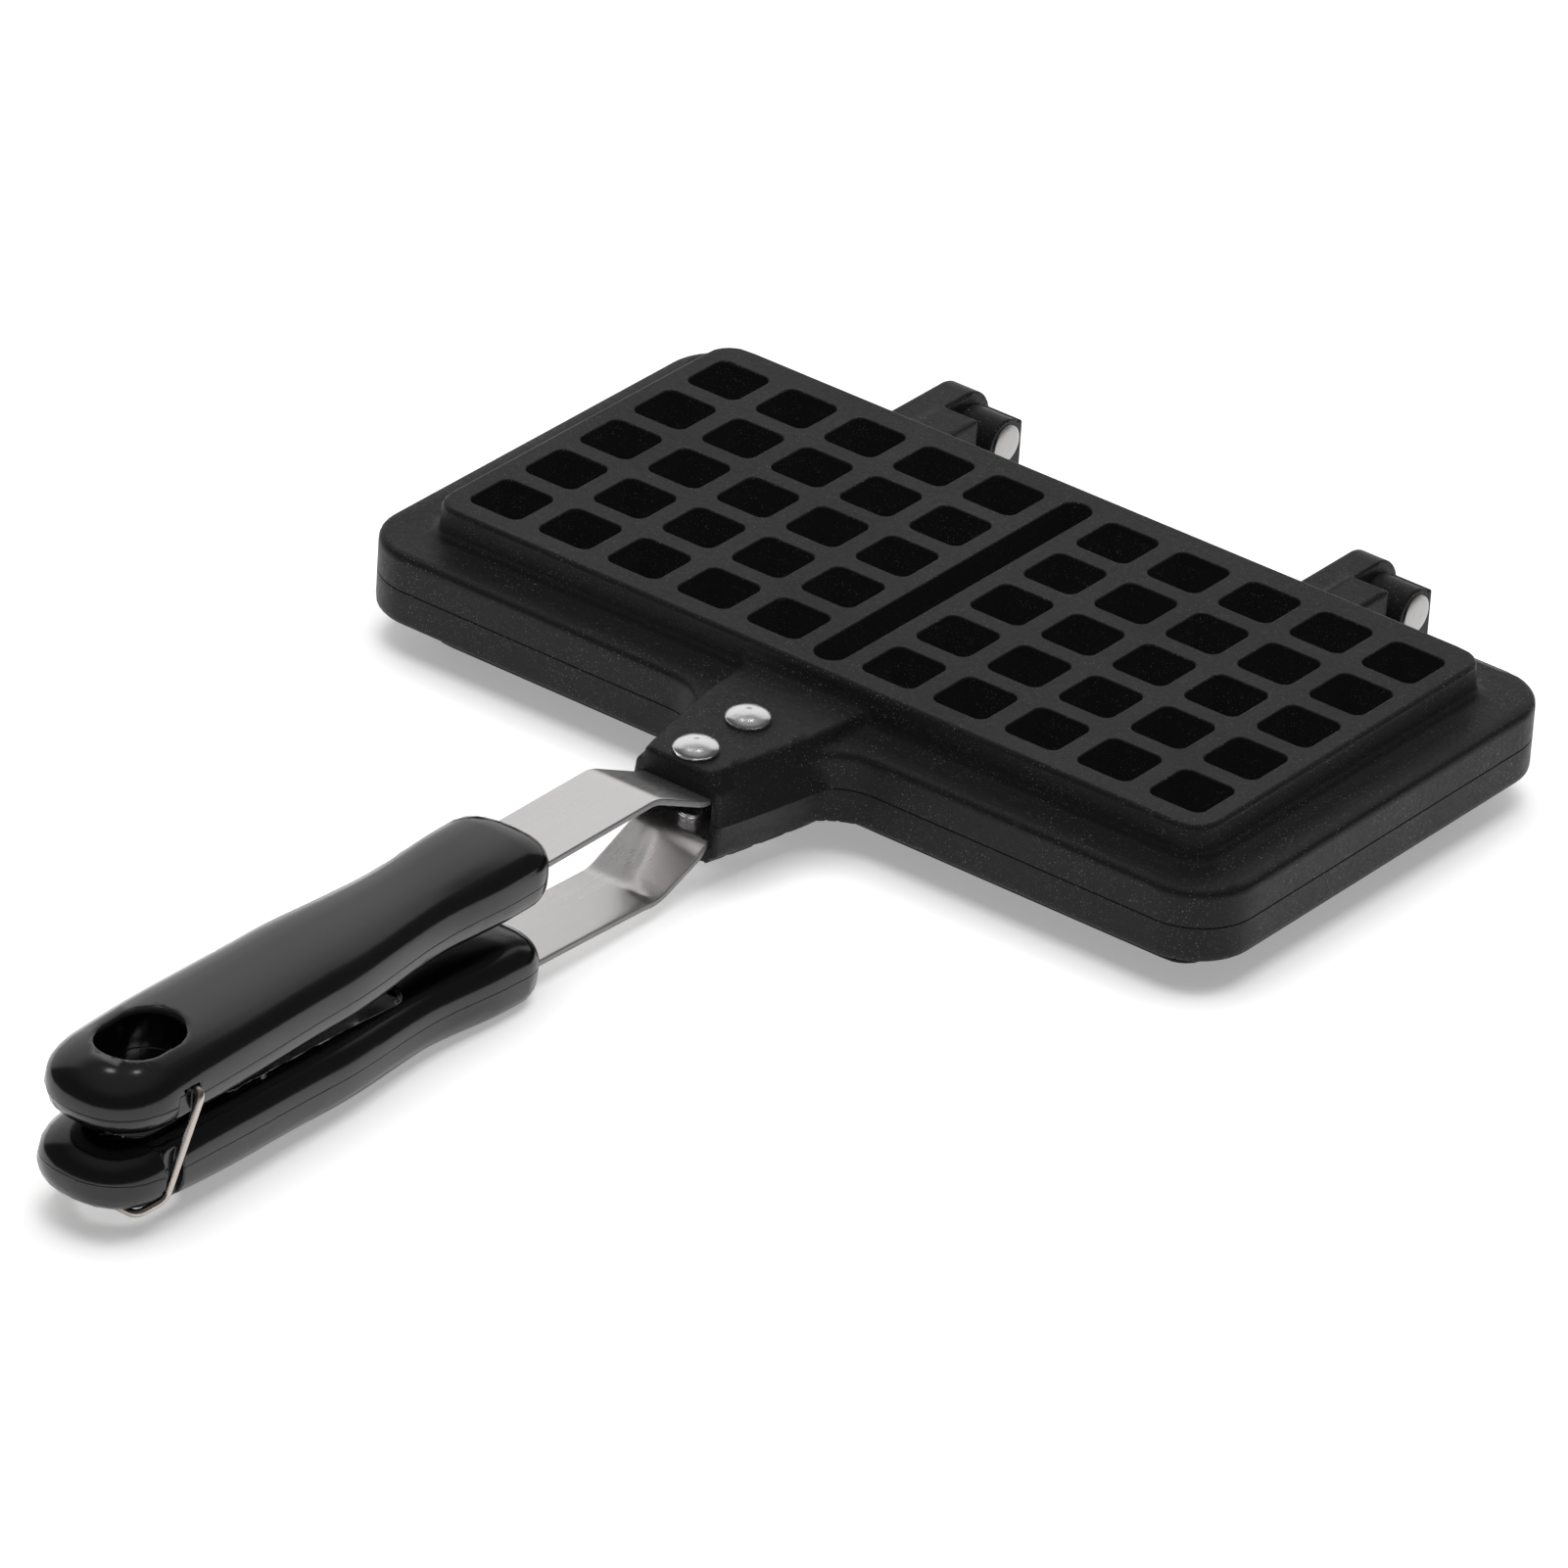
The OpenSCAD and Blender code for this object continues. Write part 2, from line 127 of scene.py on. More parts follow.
def make(name, p, faces, nrm=None, smooth_faces=True):
    """Mesh object from points in the row frame, in metres."""
    me = bpy.data.meshes.new(name)
    me.from_pydata([tuple(q) for q in p.tolist()] if isinstance(p, np.ndarray) else p, [], faces)
    me.update()
    if smooth_faces:
        me.shade_smooth()
    if nrm is not None:
        me.normals_split_custom_set_from_vertices([tuple(q) for q in nrm.tolist()])
    o = bpy.data.objects.new(name, me)
    bpy.context.scene.collection.objects.link(o)
    return o


def sdf_object(name, f, lo, hi, h, adapt=0.0):
    p, nrm, tris, quads = surface(f, lo, hi, h, adapt)
    return make(name, (p + np.array([0, OY, OZ])) * MM, tris.tolist() + quads.tolist(), nrm)


def steps(*spans):
    """Grid lines from (from, to, spacing) spans that follow each other."""
    out = [np.array([spans[0][0]])]
    for a, b, h in spans:
        k = max(1, int(round((b - a) / h)))
        out.append(a + (b - a) * np.arange(1, k + 1) / k)
    return np.concatenate(out)


def rounded(hx, hy, r, n=6):
    """Points and outward normals round a rectangle with round corners."""
    pts, nn = [], []
    for cx, cy, a0 in ((1, 1, 0), (-1, 1, 90), (-1, -1, 180), (1, -1, 270)):
        for k in range(n + 1):
            a = math.radians(a0 + 90 * k / n)
            nn.append((math.cos(a), math.sin(a)))
            pts.append((cx * (hx - r) + r * nn[-1][0], cy * (hy - r) + r * nn[-1][1]))
    return pts, nn


def plate(name, h, pad_h, up):
    """A casting: outside and inside from the distance field, the grid face built edge by edge."""
    def f(x, y, z):
        return casting(x, y, z, h, pad_h)
    xs = steps((-121, -103, 0.5), (-103, -24, 0.8), (-24, 24, 0.42), (24, 103, 0.8), (103, 121, 0.5))
    ys = steps((-101, -60, 0.42), (-60, 52, 0.8), (52, 68, 0.5))
    zs = steps((-0.9, h + 1.5, 0.42))
    p, nrm, tris, quads = surface(f, None, None, 0.6, 0.25, (xs, ys, zs))
    me = bpy.data.meshes.new(name)
    me.from_pydata([tuple(q) for q in p.tolist()], [], tris.tolist() + quads.tolist())
    bm = bmesh.new()
    bm.from_mesh(me)
    lay = bm.verts.layers.float_vector.new("vn")

    def saw(z0, side):
        got = bmesh.ops.bisect_plane(bm, geom=list(bm.verts) + list(bm.edges) + list(bm.faces), dist=1e-4,
                                     plane_co=(0, 0, z0), plane_no=(0, 0, side), clear_outer=True)
        rim = [g for g in got["geom_cut"] if isinstance(g, bmesh.types.BMEdge) and len(g.link_loops) == 1]
        pairs = [(e.link_loops[0].link_loop_next.vert, e.link_loops[0].vert) for e in rim]
        verts = list({v for q in pairs for v in q})
        return pairs, verts

    def turn_in(z0, side, r, k):
        """Saw at z0 and round the edge over to a flat face r further on."""
        pairs, verts = saw(z0, side)
        co = np.array([tuple(v.co) for v in verts])
        n = unit_normals(f, co)
        n[:, 2] = 0
        n /= np.maximum(np.linalg.norm(n, axis=1), 1e-6)[:, None]
        last = {v: v for v in verts}
        for i in range(1, k + 1):
            t = math.pi / 2 * i / k
            c, sn = math.cos(t), math.sin(t)
            q = co - n * r * (1 - c)
            new = {}
            for j, v in enumerate(verts):
                w = bm.verts.new((q[j, 0], q[j, 1], z0 + side * r * sn))
                w[lay] = (n[j, 0] * c, n[j, 1] * c, side * sn)
                new[v] = w
            for a, b in pairs:
                bm.faces.new((last[a], last[b], new[b], new[a]))
            last = new
        return [(last[a], last[b]) for a, b in pairs if last[a] is not last[b]]

    def upright(x, y):
        v = bm.verts.new((x, y, h))
        v[lay] = (0, 0, 1)
        return v

    def well(cx, cy, size, r, floor_z, slope, r_top, r_low):
        """A pocket from the grid face down: its rim, wall, rounded foot and floor."""
        hx, hy = size
        rows = []
        for i in range(5):
            t = math.pi / 2 * i / 4
            rows.append((r_top * (1 - math.sin(t)), h - r_top * (1 - math.cos(t)), math.cos(t), math.sin(t)))
        for i in range(1, 4):
            z = h - r_top + (floor_z + r_low - h + r_top) * i / 3
            rows.append((-(h - r_top - z) * slope, z, slope, 1.0))
        base = rows[-1][0]
        for i in range(1, 5):
            t = math.pi / 2 * i / 4
            rows.append((base - r_low * (1 - math.cos(t)), floor_z + r_low * (1 - math.sin(t)), math.sin(t), math.cos(t)))
        rings = []
        for d, z, nz, nx in rows:
            pts, nn = rounded(hx + d, hy + d, r + d)
            row = []
            for (x, y), (u, w) in zip(pts, nn):
                v = bm.verts.new((cx + x, cy + y, z))
                v[lay] = (-u * nx, -w * nx, nz)
                row.append(v)
            rings.append(row)
        m = len(rings[0])
        for lo, hi in zip(rings[1:], rings[:-1]):
            for k in range(m):
                j = (k + 1) % m
                bm.faces.new((hi[k], hi[j], lo[j], lo[k]))
        bm.faces.new(rings[-1])
        return rings[0]

    def land(ring, cx, cy, hx, hy):
        """The flat of the grid face round one pocket, out to the corners of its cell."""
        k = len(ring) // 4
        c = [upright(cx + i * hx, cy + j * hy) for i, j in ((1, 1), (-1, 1), (-1, -1), (1, -1))]
        for i in range(4):
            for j in range(k - 1):
                bm.faces.new((ring[k * i + j], c[i], ring[k * i + j + 1]))
            bm.faces.new((ring[k * i + k - 1], c[i], c[(i + 1) % 4], ring[k * (i + 1) % len(ring)]))

    r_out = 1.3
    x1, y1 = GAP / 2 + PITCH * ROWS, PITCH * ROWS / 2
    inner = {}

    def facing(v):
        if v not in inner:
            inner[v] = upright(min(max(v.co.x, -x1), x1), min(max(v.co.y, -y1), y1))
        return inner[v]
    for a, b in turn_in(h - r_out, 1, r_out, 5):
        bm.faces.new((a, b, facing(b), facing(a)))
    for ix in range(-ROWS, ROWS):
        x0 = (GAP / 2 + PITCH / 2 + PITCH * (ix if ix >= 0 else -1 - ix)) * (1 if ix >= 0 else -1)
        for iy in range(ROWS):
            y0 = PITCH * (iy - ROWS // 2)
            land(well(x0, y0, (7.15, 7.15), 2.35, 6.0, 0.10, 0.4, 1.6), x0, y0, PITCH / 2, PITCH / 2)
    land(well(0, 0, (3.9, 48.2), 3.88, 4.5, 0.03, 0.4, 1.2), 0, 0, GAP / 2, y1)
    low = turn_in(SEAM + 0.22, -1, 0.22, 3)
    rim = [bm.edges.get(q) for q in low]
    bmesh.ops.triangle_fill(bm, edges=[e for e in rim if e is not None], use_beauty=True, normal=(0, 0, -1))
    bm.to_mesh(me)
    bm.free()
    n = len(me.vertices)
    co, vn = np.zeros(n * 3), np.zeros(n * 3)
    me.vertices.foreach_get("co", co)
    at = me.attributes["vn"]
    at.data.foreach_get("vector", vn)
    co, vn = co.reshape(-1, 3), vn.reshape(-1, 3)
    bare = (vn * vn).sum(1) < 0.01
    vn[bare] = unit_normals(f, co[bare])
    me.attributes.remove(at)
    if not up:
        co[:, 2] *= -1
        vn[:, 2] *= -1
        me.flip_normals()
    me.vertices.foreach_set("co", ((co + np.array([0, OY, OZ])) * MM).reshape(-1))
    me.update()
    me.shade_smooth()
    me.normals_split_custom_set_from_vertices([tuple(q) for q in vn.tolist()])
    o = bpy.data.objects.new(name, me)
    bpy.context.scene.collection.objects.link(o)
    return o


def joined(name, parts):
    """One object from several meshes of one casting."""
    for o in list(bpy.context.selected_objects):
        o.select_set(False)
    for o in parts:
        o.select_set(True)
    bpy.context.view_layer.objects.active = parts[0]
    bpy.ops.object.join()
    parts[0].name = name
    parts[0].data.name = name
    parts[0].select_set(False)
    return parts[0]


# ------------------------------------------------------------------ plates
PITCH, GAP, ROWS, CS = 19.5, 12.3, 5, 0.8
HINGES = [(-67.8, -59.6, -50.4, -48.6), (47.0, 54.9, 64.2, 66.0)]
HINGE_Y, EAR_R, KNUCKLE_R = 85.0, 8.75, 6.0
BOSS_Y = -98.3


def fold(x, y):
    """Coordinates from the middle of the nearest pocket."""
    side = np.sign(x) + (x == 0)
    u = np.abs(x) - GAP / 2 - PITCH / 2
    u = u - PITCH * np.clip(np.round(u / PITCH), 0, ROWS - 1)
    w = y - PITCH * np.clip(np.round(y / PITCH), -(ROWS // 2), ROWS // 2)
    return u * side, w


def casting(x, y, z, h, pad_h):
    """One plate without its hinge parts, outer face towards +z."""
    d_fl = rrect(x, y - CS, 118.8, 65.0, 15.0)
    d_bo = np.maximum(np.abs(x) - (11.5 + (y - BOSS_Y) * 0.105), BOSS_Y - 6 - y)
    d_bo = np.maximum(d_bo, y + 50.0)
    outline = uround(d_fl, d_bo, 13.5)
    s = iround(outline, z - 8.8, 1.6)
    hw = np.interp(y, [-98.3, -90, -80, -71, -64, -56, -40], [8.8, 10.8, 12.8, 14.5, 15.4, 16.0, 16.6])
    d_pad = np.abs(x) - hw - (pad_h - z) * 0.35
    d_pad = np.maximum(d_pad, y + 48.0)
    s = uround(s, iround(d_pad, z - pad_h, 0.9), 1.1)
    front = BOSS_Y - y + np.abs(z) * 0.02
    s = iround(s, front, 0.95)
    t = (z - 8.8) * 0.05
    d_bl = rrect(x, y - CS, 106.75 - t, 53.75 - t, 7.0)
    s = uround(s, d_bl, 2.2)
    px, py = fold(x, y)
    # inner side: batter space round the pegs, and the overflow channel
    c = iround(rrect(x, y - CS, 103.4 + z * 0.02, 49.8, 4.5), 5.7 - np.abs(x), 1.0)
    c = iround(c, z - (h - 3.0), 1.2)
    w = 6.75 + (z - 3.8) * 0.12
    peg = iround(rrect(px, py, w, w, 3.0), 3.8 - z, 0.9)
    c = dround(c, peg, 1.0)
    s = dround(s, c, 0.6)
    ring = np.maximum(rrect(x, y - CS, 114.2, 60.4, 10.4), -rrect(x, y - CS, 106.6, 53.0, 6.8))
    s = dround(s, iround(ring, z - 2.4, 0.9), 0.5)
    ch = box3(x, y, z, -9.8, 9.8, -110, -65.3, -8, 6.1, 0.6)
    return dround(s, ch, 0.4)


SEAM = 0.06


def ear_f(h0, h1, h2):
    e1 = h1 - 0.2
    mid, half = (h0 + e1) / 2, (e1 - h0) / 2

    def f(x, y, z):
        end = np.abs(x - mid) - half
        web = np.maximum(np.abs(z - 4.4) - 4.35, np.maximum(y - HINGE_Y, 60.5 - y))
        rnd = hyp(y - HINGE_Y, z) - 8.75
        ear = iround(np.minimum(web, rnd), end, 0.45)
        sh = box3(x, y, z, h1 - 1.2, h2, 60.5, 76.2, 0.1, 8.75, 0.35)
        d = uround(ear, sh, 0.25)
        return np.maximum(d, 2.56 - hyp(y - HINGE_Y, z))
    return f


def knuckle_f(h1, h3):
    k0 = h1 + 0.2
    mid, half = (k0 + h3) / 2, (h3 - k0) / 2

    def f(x, y, z):
        end = np.abs(x - mid) - half
        arm = np.maximum(np.maximum(np.abs(z + 4.4) - 4.35, 60.5 - y), y - HINGE_Y - 6.0)
        blk = iround(iround(z - 4.2, y - HINGE_Y - 6.0, 0.8), np.maximum(HINGE_Y - y, -z - 8.75), 0.1)
        rnd = hyp(y - HINGE_Y, z) - 6.0
        low = iround(-8.75 - z, y - HINGE_Y - 6.0, 1.6)
        k = np.minimum(np.minimum(np.maximum(arm, low), blk), rnd)
        k = iround(k, end, 0.35)
        return np.maximum(k, 2.5 - hyp(y - HINGE_Y, z))
    return f


# ------------------------------------------------------------------ straps
GRIP_L, GRIP_Y, LOWER_GRIP_Y, GRIP_IN = 146.6, -152.2, -153.8, 0.2
UPPER_Z, LOWER_Z, LOWER_BEND_Y = 13.4, 12.0, -115.4
RISE = math.radians(2.45)
CR, SR = math.cos(RISE), math.sin(RISE)
LOWER_S = (LOWER_BEND_Y - LOWER_GRIP_Y) / CR
RIVETS = (-91.6, -73.3)
STRAP_C = 5.3


def ramp(u, w):
    """0 below, u above, with a round bend of half length w between."""
    return np.where(u < -w, 0.0, np.where(u > w, u, (u + w) ** 2 / (4 * w)))


def stadium(x, y, cy, r, half):
    return hyp(x, np.maximum(np.abs(y - cy) - half, 0)) - r


def strap(name, up):
    """Pressed sheet swept along its side view, with rolled edges and the fold of the lower one."""
    if up:
        slope, b0, b1, level = (UPPER_Z - STRAP_C) / 17.5, -99.5, -117.0, 0.0
    else:
        slope, b0, b1, level = (LOWER_Z - STRAP_C) / 15.9, -99.5, LOWER_BEND_Y, math.tan(RISE)
    end = GRIP_Y - 107.9 if up else LOWER_BEND_Y - (LOWER_S + 107.9) * CR
    y = np.concatenate([np.linspace(-65.5, -65.9, 3), np.linspace(-67, -95, 24), np.linspace(-95.6, -124, 72),
                        np.linspace(-125, -156, 42), np.linspace(-160, end + 0.4, 30), [end + 0.15, end]])

    def centre(x, yy):
        c = STRAP_C + slope * ramp(b0 - yy, 2.2) - (slope + level) * ramp(b1 - yy, 2.2)
        if not up:
            fold = np.interp(-yy, [96, 99, 112, 115, 119, 124, 160], [-4, -3, 1.5, 5.0, 8.1, 8.5, 8.7])
            u = (x - fold) / 0.5
            soft = 0.5 * np.where(u > 20, u, np.log1p(np.exp(np.minimum(u, 20))))
            c = c + soft * 0.14 * smooth((-97.5 - yy) / 4) * (1 - 0.5 * smooth((-118 - yy) / 30))
            c = c + 0.28 * np.exp(-(((x - 5.4) / 1.8) ** 2 + ((yy + 116.2) / 1.2) ** 2))
            c = c + 0.12 * np.exp(-(((x + 1.5 + 0.3 * (yy + 107)) / 1.6) ** 2)) * smooth((-99 - yy) / 5) * smooth((yy + 114) / 5)
        return c
    r, w, t = 0.34, 9.5, 0.8
    arc5 = np.radians([0, 18, 36, 54, 72, 90])
    xs, ns = [], []
    for sx, sn, flip in ((1, 1, False), (-1, 1, True), (-1, -1, False), (1, -1, True)):
        a = arc5[::-1] if flip else arc5
        xs += list(sx * (w - r + r * np.cos(a)))
        ns += list(sn * (t - r + r * np.sin(a)))
        if sn > 0 and not flip:
            xs += list(np.linspace(w - r, -(w - r), 41)[1:-1])
            ns += [t] * 39
        if sn < 0 and not flip:
            xs += list(np.linspace(-(w - r), w - r, 41)[1:-1])
            ns += [-t] * 39
    xs, ns = np.array(xs), np.array(ns)
    m = len(xs)
    pts = []
    for i, yy in enumerate(y):
        k = 1 - 0.35 * (i in (0, len(y) - 1))
        g = (centre(xs, yy + 0.05) - centre(xs, yy - 0.05)) / 0.1
        q = 1 / np.sqrt(1 + g * g)
        nn = ns * k
        pts.append(np.stack([xs, yy - g * q * nn, centre(xs, yy) + nn * q], 1))
    pts = np.concatenate(pts)
    if not up:
        pts[:, 2] *= -1
    pts += [0, OY, OZ]
    n = len(y)
    faces = [list(range(m)), [(n - 1) * m + k for k in range(m)][::-1]]
    for i in range(n - 1):
        for k in range(m):
            j = (k + 1) % m
            faces.append([i * m + k, (i + 1) * m + k, (i + 1) * m + j, i * m + j])
    if not up:
        faces = [f[::-1] for f in faces]
    o = make(name, pts * MM, faces)
    o.data.set_sharp_from_angle(angle=math.radians(50))
    return o


# ------------------------------------------------------------------ grips
def mix(a, b, t):
    return a + (b - a) * t


def half_w(s):
    near = mix(13.3, 12.1, smooth((s - 16) / 22))
    far = mix(12.1, 14.6, smooth((s - 38) / 37)) + 0.6 * smooth((s - 75) / 40)
    return np.where(s < 38, near, far)


def half_t(s):
    near = mix(8.4, 8.0, smooth((s - 16) / 22))
    far = mix(8.0, 8.55, smooth((s - 38) / 40)) + 0.15 * smooth((s - 75) / 35)
    return np.where(s < 38, near, far)


def shell(x, s, n):
    m = 3.0 - 0.75 * smooth((s - 112) / 34)
    q = ((np.abs(x) / half_w(s)) ** m + (np.abs(n + GRIP_IN) / half_t(s)) ** m + 1e-9) ** (1 / m)
    e0 = np.maximum(0, (11 - s) / 11)
    e1 = np.maximum(0, (s - GRIP_L + 16) / 16)
    a = (q ** 2.3 + e0 ** 2.3) ** (1 / 2.3)
    b = (q ** 2.2 + e1 ** 2.2) ** (1 / 2.2)
    return np.where(s < 40, a, b) - 1


def grip_core(x, s, n):
    e = 0.04
    v = shell(x, s, n)
    gx = (shell(x + e, s, n) - shell(x - e, s, n)) / (2 * e)
    gs = (shell(x, s + e, n) - shell(x, s - e, n)) / (2 * e)
    gn = (shell(x, s, n + e) - shell(x, s, n - e)) / (2 * e)
    d = v / np.maximum(np.sqrt(gx * gx + gs * gs + gn * gn), 0.04)
    d = dround(d, stadium(x, s, 125.2, 7.8, 2.8) + 0.045 * np.abs(n + 0.2) - 0.1, 1.5)
    rec = iround(rrect(x, s - 75.8, 8.05 + (s - 75.8) * 0.012, 31.2, 4.0), n + 7.0, 0.3)
    d = dround(d, rec, 0.35)
    d = dround(d, np.maximum(hyp(x, s - 76) - 3.8, n + 4.4), 0.25)
    d = np.maximum(d, -np.maximum(hyp(x, s - 76) - 1.85, n - 5))
    slot = box3(x, s, n, -9.55, 9.55, -20, 108.5, -0.84, 0.84, 0.2)
    return dround(d, slot, 0.22)


def seg(x, y, z, a, b):
    ab = [b[i] - a[i] for i in range(3)]
    L = sum(c * c for c in ab)
    t = np.clip(((x - a[0]) * ab[0] + (y - a[1]) * ab[1] + (z - a[2]) * ab[2]) / L, 0, 1)
    return np.sqrt((x - a[0] - t * ab[0]) ** 2 + (y - a[1] - t * ab[1]) ** 2 + (z - a[2] - t * ab[2]) ** 2)


BAIL_TOP, BAIL_HEEL, BAIL_TOE = (16.6, -276.9, 14.0), (14.6, -285.0, -9.0), (12.0, -291.0, -11.3)


def upper_grip_f(x, y, z):
    d = grip_core(x, GRIP_Y - y, z - UPPER_Z)
    ax = np.abs(x)
    d = dround(d, box3(ax, y, z, 12.9, 20, -282.0, -275.7, 0, 15.2, 0.3), 0.35)
    d = np.maximum(d, 1.4 - seg(ax, y, z, BAIL_HEEL, BAIL_TOP))
    return np.maximum(d, -np.maximum(hyp(y + 276.9, z - 14.0) - 0.98, 9 - ax))


def lower_frame(y, z):
    a, b = y - LOWER_BEND_Y, z + LOWER_Z
    return -(a * CR - b * SR + LOWER_S), -(a * SR + b * CR)


def lower_grip_f(x, y, z):
    s, n = lower_frame(y, z)
    d = grip_core(x, s, n)
    ax = np.abs(x)
    d = dround(d, box3(ax, y, z, 12.9, 20, -285.2, -280.0, -16, 6, 0.3), 0.35)
    d = np.maximum(d, 1.4 - seg(ax, y, z, BAIL_HEEL, BAIL_TOP))
    d = np.maximum(d, 1.4 - seg(ax, y, z, BAIL_HEEL, BAIL_TOE))
    groove = np.minimum(hyp(y + 291.0, z + 11.3) - 1.4, np.maximum(np.abs(y + 291.0) - 1.4, z + 11.3))
    return dround(d, groove, 0.3)


# ------------------------------------------------------------------ small parts
def lathe(name, prof, origin, axis="Z", flip=1, n=72):
    """Turned part from (radius, height) pairs, first and last on the axis."""
    pts, faces = [], []
    ang = [2 * math.pi * k / n for k in range(n)]
    ids = []
    for r, h in prof:
        if r < 1e-6:
            ids.append([len(pts)] * n)
            pts.append((0, 0, h))
        else:
            ids.append(list(range(len(pts), len(pts) + n)))
            pts += [(r * math.cos(a), r * math.sin(a), h) for a in ang]
    for i in range(len(prof) - 1):
        for k in range(n):
            j = (k + 1) % n
            q = [ids[i][k], ids[i][j], ids[i + 1][j], ids[i + 1][k]]
            q = [v for m, v in enumerate(q) if v not in q[:m]]
            if len(q) > 2:
                faces.append(q)
    out = []
    for px, py, pz in pts:
        if axis == "X":
            v = (pz + origin[0], py + origin[1], -px + origin[2])
        else:
            v = (px + origin[0], py * flip + origin[1], pz * flip + origin[2])
        out.append((v[0] * MM, (v[1] + OY) * MM, (v[2] + OZ) * MM))
    o = make(name, out, faces)
    o.data.set_sharp_from_angle(angle=math.radians(38))
    return o


def arc(cr, ch, r, a0, a1, n):
    return [(cr + r * math.cos(math.radians(a0 + (a1 - a0) * i / n)),
             ch + r * math.sin(math.radians(a0 + (a1 - a0) * i / n))) for i in range(n + 1)]


def rivet(name, y, top, flip):
    tail = [(0, 2.5), (2.3, 2.5)] + arc(2.7, 3.2, 0.7, -80, 0, 5) + [(3.45, 4.2), (3.3, 4.5), (2.75, 4.5)]
    shank = [(2.75, top), (5.15, top), (5.32, top + 0.16), (5.3, top + 0.42)]
    dome = [(5.3 * math.cos(math.radians(a)) ** 1.0, top + 0.42 + 2.18 * math.sin(math.radians(a)))
            for a in (6, 12, 18, 24, 30, 36, 42, 48, 54, 60, 66, 72, 77)]
    crown = [(1.0, top + 2.56), (0.85, top + 2.52), (0.6, top + 2.44), (0.3, top + 2.40), (0, top + 2.39)]
    o = lathe(name, tail + shank + dome + crown, (0, y, 0), flip=flip)
    # hammer marks: the dome isn't quite even
    rng = np.random.default_rng(abs(int(y * 10)) + flip)
    me = o.data
    n = len(me.vertices)
    co = np.zeros(n * 3)
    me.vertices.foreach_get("co", co)
    co = co.reshape(-1, 3)
    c = np.array([0, (y + OY) * MM, 0])
    h = (co[:, 2] - OZ * MM) * flip / MM
    for _ in range(7):
        a, r = rng.uniform(0, 6.28), rng.uniform(0.5, 4.3)
        m = np.array([r * math.cos(a), r * math.sin(a)])
        q = (co[:, :2] - c[:2]) / MM - m
        w = np.exp(-(q ** 2).sum(1) / rng.uniform(0.3, 1.0)) * (h > top + 0.6)
        co[:, 2] -= flip * w * rng.uniform(0.015, 0.045) * MM
    me.vertices.foreach_set("co", co.reshape(-1))
    me.update()
    return o


def pin(name, h):
    x0, x1 = h[0], h[3]
    left = [(0, x0 - 0.95), (2.4, x0 - 0.9), (3.1, x0 - 0.75), (3.5, x0 - 0.4), (3.6, x0 - 0.1), (2.5, x0 - 0.1)]
    right = [(2.5, x1), (4.6, x1), (4.7, x1 + 0.12), (4.55, x1 + 0.42), (4.0, x1 + 0.68), (3.2, x1 + 0.86),
             (2.2, x1 + 0.97), (1.1, x1 + 1.02), (0.5, x1 + 0.98), (0, x1 + 0.96)]
    return lathe(name, left + right, (0, HINGE_Y, 0), axis="X")


def screw_f(up):
    def f(x, y, z):
        if up:
            s, n = GRIP_Y - y, z - UPPER_Z
        else:
            s, n = lower_frame(y, z)
        r = hyp(x, s - 76)
        head = iround(r - 3.5, np.abs(n + 5.55) - 1.2, 0.5)
        turn = np.arctan2(x, s - 76) / (2 * math.pi)
        t = np.abs((n / 1.25 - turn) % 1.0 - 0.5) * 2
        shank = iround(r - 1.78 + 0.32 * t, np.abs(n) - 4.9, 0.3)
        shank = np.maximum(shank, r - 0.5 - (4.9 - n) * 1.3)
        d = np.minimum(head, shank)
        w = 0.45 + (-6.7 - n) * 0.12
        slot = np.minimum(np.maximum(np.abs(x) - w, np.abs(s - 76) - 1.9),
                          np.maximum(np.abs(s - 76) - w, np.abs(x) - 1.9))
        return dround(d, np.maximum(slot, n + 5.6), 0.12)
    return f


def bail():
    def unit(v):
        return v / np.linalg.norm(v)

    def bend(a, p, b, d, n):
        q, w = p + d * unit(a - p), p + d * unit(b - p)
        t = np.linspace(0, 1, n + 1)[:, None]
        return list((1 - t) ** 2 * q + 2 * t * (1 - t) * p + t * t * w)
    p0 = np.array([9.4, -276.9, 14.0])
    top, heel, toe = np.array(BAIL_TOP), np.array(BAIL_HEEL), np.array(BAIL_TOE)
    right = [p0, p0 + [0.12, 0, 0]] + bend(p0, top, heel, 1.9, 10)
    mid = right[-1] + (heel - right[-1]) * np.linspace(0.1, 0.86, 9)[:, None]
    right += list(mid) + bend(top, heel, toe, 1.9, 10) + bend(heel, toe, toe - [5, 0, 0], 1.9, 10)
    path = np.array(right + [q * [-1, 1, 1] for q in right[::-1]])
    n, m = len(path), 20
    tan = np.gradient(path, axis=0)
    tan /= np.linalg.norm(tan, axis=1)[:, None]
    u = unit(np.cross(tan[0], [0, 0, 1]))
    pts = []
    for i in range(n):
        u = unit(u - tan[i] * (u @ tan[i]))
        v = np.cross(tan[i], u)
        r = 0.9 * (0.72 if i in (0, n - 1) else 1)
        a = 2 * np.pi * np.arange(m) / m
        pts.append(path[i] + r * (np.cos(a)[:, None] * u + np.sin(a)[:, None] * v))
    pts = np.concatenate(pts) + [0, OY, OZ]
    faces = [[k for k in range(m)][::-1], [(n - 1) * m + k for k in range(m)]]
    for i in range(n - 1):
        for k in range(m):
            j = (k + 1) % m
            faces.append([i * m + k, i * m + j, (i + 1) * m + j, (i + 1) * m + k])
    o = make("bail_wire_bent", pts * MM, faces)
    o.data.set_sharp_from_angle(angle=math.radians(50))
    return o


# ------------------------------------------------------------------ pieces
made = {}


def piece(o, body, node, slot):
    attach(o, body)
    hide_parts(node)
    made.setdefault(slot, []).append(o)
    return o


